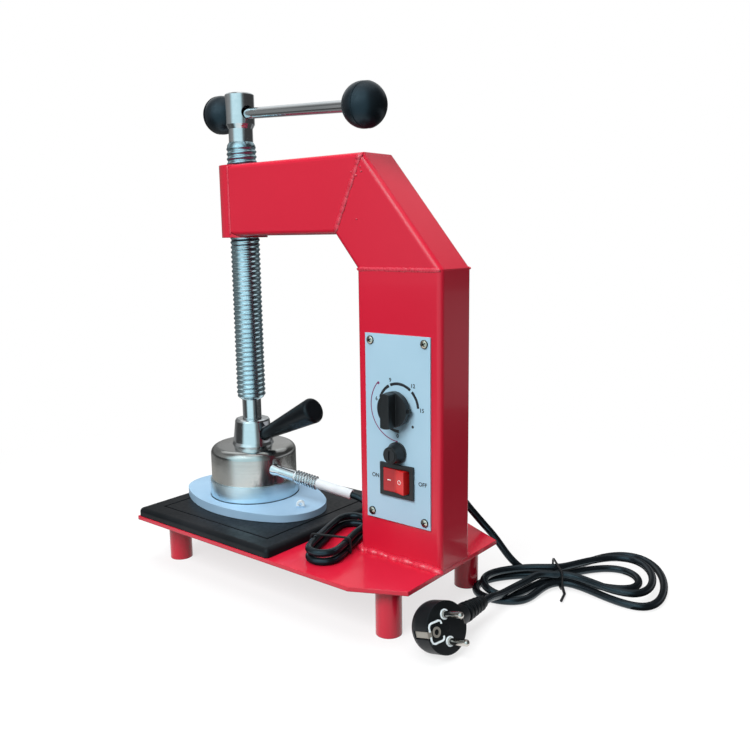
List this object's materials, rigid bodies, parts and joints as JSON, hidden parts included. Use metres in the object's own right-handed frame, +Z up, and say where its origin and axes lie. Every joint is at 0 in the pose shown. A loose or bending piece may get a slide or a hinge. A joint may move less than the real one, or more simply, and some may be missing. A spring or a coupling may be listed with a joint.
{
  "type": "tire_vulcanizer",
  "caption": "Bench vulcanizer for tire patches: red welded press frame, screw spindle with ball-knob bar, heated oval shoe over a rubber bed, timer panel and coiled mains cord",
  "frame": {"origin": "on the floor under the middle of the press, overhanging shoe included", "axes": "+X along the base plate to the column, +Y away from the panel's face, +Z up"},
  "size_m": [0.4221, 0.269, 0.4158],
  "materials": {
    "red_paint": "glossy crimson enamel over welded steel",
    "bed_rubber": "satin black rubber with a lighter worn edge",
    "panel_paint": "light blue grey printed sheet",
    "plated_steel": "zinc plated",
    "pale_insulator": "moulded cream insulator",
    "black_plastic": "black moulding",
    "red_plastic": "translucent red moulding",
    "fuse_glass": "clear tube with end caps",
    "wire_insulation": "coloured wire insulation",
    "black_rubber": "black cord rubber",
    "pin_nickel": "nickel plated brass",
    "cast_aluminium": "turned and cast aluminium",
    "element_mica": "mica plate with resistance wire",
    "chrome_plate": "bright plated steel",
    "black_bakelite": "polished black ball knob moulding",
    "spring_steel": "bright wire",
    "white_sleeve": "woven white heat sleeve"
  },
  "bodies": {
    "frame": {"base_plate": "red_paint", "feet": "red_paint", "column_tube": "red_paint", "brace_tube": "red_paint", "arm_tube": "red_paint", "spindle_nut": "red_paint", "weld_base": "red_paint", "weld_column": "red_paint", "weld_arm": "red_paint", "weld_nut": "red_paint", "bed_pad": "bed_rubber", "control_panel": "panel_paint", "panel_screws": "plated_steel", "timer_body": "pale_insulator", "fuse_holder": "black_plastic", "switch_housing": "black_plastic", "terminal_block": "pale_insulator", "internal_wires": "wire_insulation", "lead_grommet": "black_rubber", "mains_gland": "black_rubber", "mains_cord_lead": "black_rubber", "mains_cord_hank": "black_rubber", "mains_cord_tail": "black_rubber", "hank_tie": "black_rubber", "plug_body": "black_rubber", "plug_pins": "pin_nickel", "plug_earth_clips": "pin_nickel", "heater_lead": "black_rubber", "heater_lead_hank": "black_rubber", "heater_lead_tail": "black_rubber", "lead_tie": "black_rubber"},
    "heating_head": {"heating_shoe": "cast_aluminium", "shoe_screws": "plated_steel", "heater_body": "cast_aluminium", "heating_element": "element_mica", "insulation_disc": "pale_insulator", "pressure_post": "plated_steel", "thermostat": "black_plastic", "heater_cap": "chrome_plate", "spindle_collar": "chrome_plate", "spindle_retainer": "plated_steel", "handle_stud": "plated_steel", "handle_grip": "black_bakelite", "lead_gland": "chrome_plate", "gland_spring": "spring_steel", "lead_sleeve": "white_sleeve"},
    "spindle": {"spindle_screw": "chrome_plate", "spindle_head": "chrome_plate", "swivel_pin": "chrome_plate"},
    "bar": {"tommy_bar": "chrome_plate", "bar_knobs": "black_bakelite"},
    "timer": {"timer_shaft": "plated_steel", "timer_knob": "black_plastic"},
    "rocker": {"rocker": "red_plastic"},
    "fuse": {"fuse_cap": "black_plastic", "fuse_tube": "fuse_glass"}
  },
  "joints": [
    {"name": "head_slide", "type": "slide", "parent": "frame", "child": "heating_head", "axis": [0, 0, 1], "range_m": [0, 0.1], "deforming": ["heater_lead"]},
    {"name": "spindle_turn", "type": "hinge", "parent": "heating_head", "child": "spindle", "pos_m": [-0.07175, 0, 0.2], "axis": [0, 0, 1], "range_deg": [0, 8571.43]},
    {"name": "bar_slide", "type": "slide", "parent": "spindle", "child": "bar", "axis": [0.9819, -0.1731, -0.0767], "range_m": [-0.135, 0]},
    {"name": "timer_turn", "type": "hinge", "parent": "frame", "child": "timer", "pos_m": [0.11175, -0.0212, 0.1635], "axis": [0, -1, 0], "range_deg": [-40, 270]},
    {"name": "rocker_tilt", "type": "hinge", "parent": "frame", "child": "rocker", "pos_m": [0.11175, -0.0162, 0.107], "axis": [0, 0, 1], "range_deg": [0, 15]},
    {"name": "fuse_twist", "type": "hinge", "parent": "frame", "child": "fuse", "pos_m": [0.11175, -0.0212, 0.1288], "axis": [0, -1, 0], "range_deg": [0, 90]}
  ],
  "couplings": [
    {"joint": "spindle_turn", "follows": "head_slide", "rad_per_m": 1496}
  ]
}
